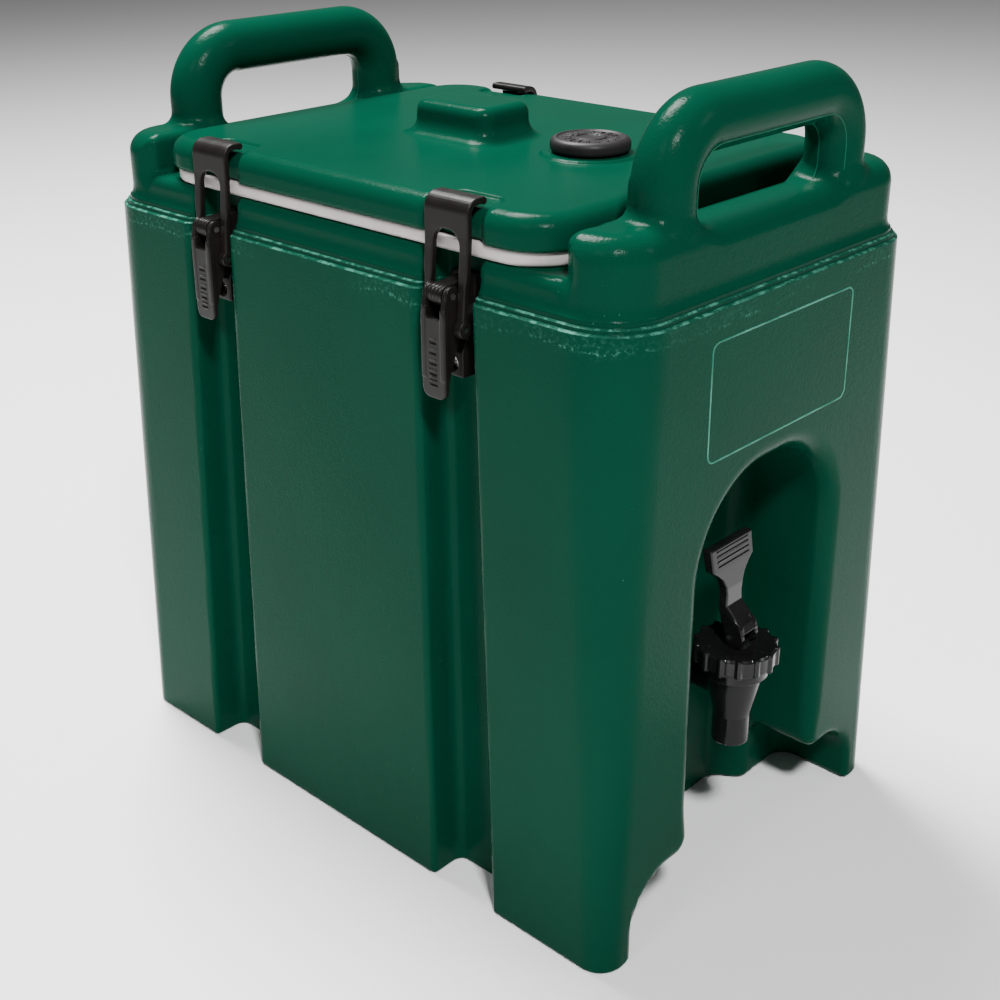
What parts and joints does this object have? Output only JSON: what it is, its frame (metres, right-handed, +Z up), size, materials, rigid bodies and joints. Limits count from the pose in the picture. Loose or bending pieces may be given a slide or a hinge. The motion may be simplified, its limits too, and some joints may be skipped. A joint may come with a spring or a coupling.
{
  "type": "insulated beverage server",
  "caption": "Double-wall insulated drink server with lift-off gasketed lid, over-centre side latches, moulded carry handles, vent cap and a lever spigot in a front recess.",
  "frame": {"origin": "centre of the footprint, on the floor", "axes": "+Z up, the spigot faces -Y, the latched long sides face -X and +X"},
  "size_m": [0.287, 0.4248, 0.467],
  "materials": {
    "green_shell": "satin",
    "green_lid": "satin",
    "foam": "matte",
    "gasket": "satin",
    "black_nylon": "satin",
    "black_gloss": "gloss",
    "black_rubber": "matte",
    "silicone": "satin",
    "steel": "satin"
  },
  "bodies": {
    "body": {"body_shell": "green_shell", "body_foam": "foam", "body_foam_plug": "green_shell", "latch_left_front_base": "black_nylon", "latch_left_front_screws": "steel", "latch_left_front_lever_pin": "steel", "latch_left_rear_base": "black_nylon", "latch_left_rear_screws": "steel", "latch_left_rear_lever_pin": "steel", "latch_right_front_base": "black_nylon", "latch_right_front_screws": "steel", "latch_right_front_lever_pin": "steel", "latch_right_rear_base": "black_nylon", "latch_right_rear_screws": "steel", "latch_right_rear_lever_pin": "steel", "spigot_body": "black_gloss", "spigot_bonnet": "black_gloss", "spigot_outer_washer": "silicone", "spigot_inner_washer": "silicone", "spigot_lock_nut": "black_gloss"},
    "lid": {"lid_shell": "green_lid", "lid_foam": "foam", "lid_foam_plug": "green_lid", "lid_gasket": "gasket"},
    "vent": {"vent_cap": "black_rubber", "vent_seal": "silicone"},
    "latch_left_front_lever_arm": {"latch_left_front_lever": "black_nylon"},
    "latch_left_front_hook": {"latch_left_front_bail": "black_nylon", "latch_left_front_bail_pin": "steel"},
    "latch_left_rear_lever_arm": {"latch_left_rear_lever": "black_nylon"},
    "latch_left_rear_hook": {"latch_left_rear_bail": "black_nylon", "latch_left_rear_bail_pin": "steel"},
    "latch_right_front_lever_arm": {"latch_right_front_lever": "black_nylon"},
    "latch_right_front_hook": {"latch_right_front_bail": "black_nylon", "latch_right_front_bail_pin": "steel"},
    "latch_right_rear_lever_arm": {"latch_right_rear_lever": "black_nylon"},
    "latch_right_rear_hook": {"latch_right_rear_bail": "black_nylon", "latch_right_rear_bail_pin": "steel"},
    "spigot_valve": {"spigot_stem": "steel", "spigot_seat_cup": "silicone", "spigot_lever_pin": "steel"},
    "spigot_handle": {"spigot_lever": "black_gloss"}
  },
  "joints": [
    {"name": "lid_lift", "type": "slide", "parent": "body", "child": "lid", "axis": [0, 0, 1], "range_m": [0, 0.06]},
    {"name": "vent_pull", "type": "slide", "parent": "lid", "child": "vent", "axis": [0, 0, 1], "range_m": [0, 0.013]},
    {"name": "latch_left_front_lever_swing", "type": "hinge", "parent": "body", "child": "latch_left_front_lever_arm", "pos_m": [-0.137, -0.094, 0.367], "axis": [0, 1, 0], "range_deg": [0, 100.5]},
    {"name": "latch_left_front_hook_swing", "type": "hinge", "parent": "latch_left_front_lever_arm", "child": "latch_left_front_hook", "pos_m": [-0.134, -0.094, 0.35], "axis": [0, 1, 0], "range_deg": [-200.5, 0]},
    {"name": "latch_left_rear_lever_swing", "type": "hinge", "parent": "body", "child": "latch_left_rear_lever_arm", "pos_m": [-0.137, 0.096, 0.367], "axis": [0, 1, 0], "range_deg": [0, 100.5]},
    {"name": "latch_left_rear_hook_swing", "type": "hinge", "parent": "latch_left_rear_lever_arm", "child": "latch_left_rear_hook", "pos_m": [-0.134, 0.096, 0.35], "axis": [0, 1, 0], "range_deg": [-200.5, 0]},
    {"name": "latch_right_front_lever_swing", "type": "hinge", "parent": "body", "child": "latch_right_front_lever_arm", "pos_m": [0.137, -0.094, 0.367], "axis": [0, 1, 0], "range_deg": [-100.5, 0]},
    {"name": "latch_right_front_hook_swing", "type": "hinge", "parent": "latch_right_front_lever_arm", "child": "latch_right_front_hook", "pos_m": [0.134, -0.094, 0.35], "axis": [0, 1, 0], "range_deg": [0, 200.5]},
    {"name": "latch_right_rear_lever_swing", "type": "hinge", "parent": "body", "child": "latch_right_rear_lever_arm", "pos_m": [0.137, 0.096, 0.367], "axis": [0, 1, 0], "range_deg": [-100.5, 0]},
    {"name": "latch_right_rear_hook_swing", "type": "hinge", "parent": "latch_right_rear_lever_arm", "child": "latch_right_rear_hook", "pos_m": [0.134, 0.096, 0.35], "axis": [0, 1, 0], "range_deg": [0, 200.5]},
    {"name": "spigot_valve_lift", "type": "slide", "parent": "body", "child": "spigot_valve", "axis": [0, 0, 1], "range_m": [0, 0.0025]},
    {"name": "spigot_lever_tilt", "type": "hinge", "parent": "spigot_valve", "child": "spigot_handle", "pos_m": [0, -0.191, 0.1533], "axis": [1, 0, 0], "range_deg": [0, 40], "stiffness_Nm_per_rad": 0.06}
  ],
  "couplings": [
    {"joint": "latch_left_front_lever_swing", "follows": "lid_lift", "rad_per_m": 29.089},
    {"joint": "latch_left_front_hook_swing", "follows": "lid_lift", "rad_per_m": -58.178},
    {"joint": "latch_left_rear_lever_swing", "follows": "lid_lift", "rad_per_m": 29.089},
    {"joint": "latch_left_rear_hook_swing", "follows": "lid_lift", "rad_per_m": -58.178},
    {"joint": "latch_right_front_lever_swing", "follows": "lid_lift", "rad_per_m": -29.089},
    {"joint": "latch_right_front_hook_swing", "follows": "lid_lift", "rad_per_m": 58.178},
    {"joint": "latch_right_rear_lever_swing", "follows": "lid_lift", "rad_per_m": -29.089},
    {"joint": "latch_right_rear_hook_swing", "follows": "lid_lift", "rad_per_m": 58.178},
    {"joint": "spigot_valve_lift", "follows": "spigot_lever_tilt", "m_per_rad": 0.003}
  ]
}
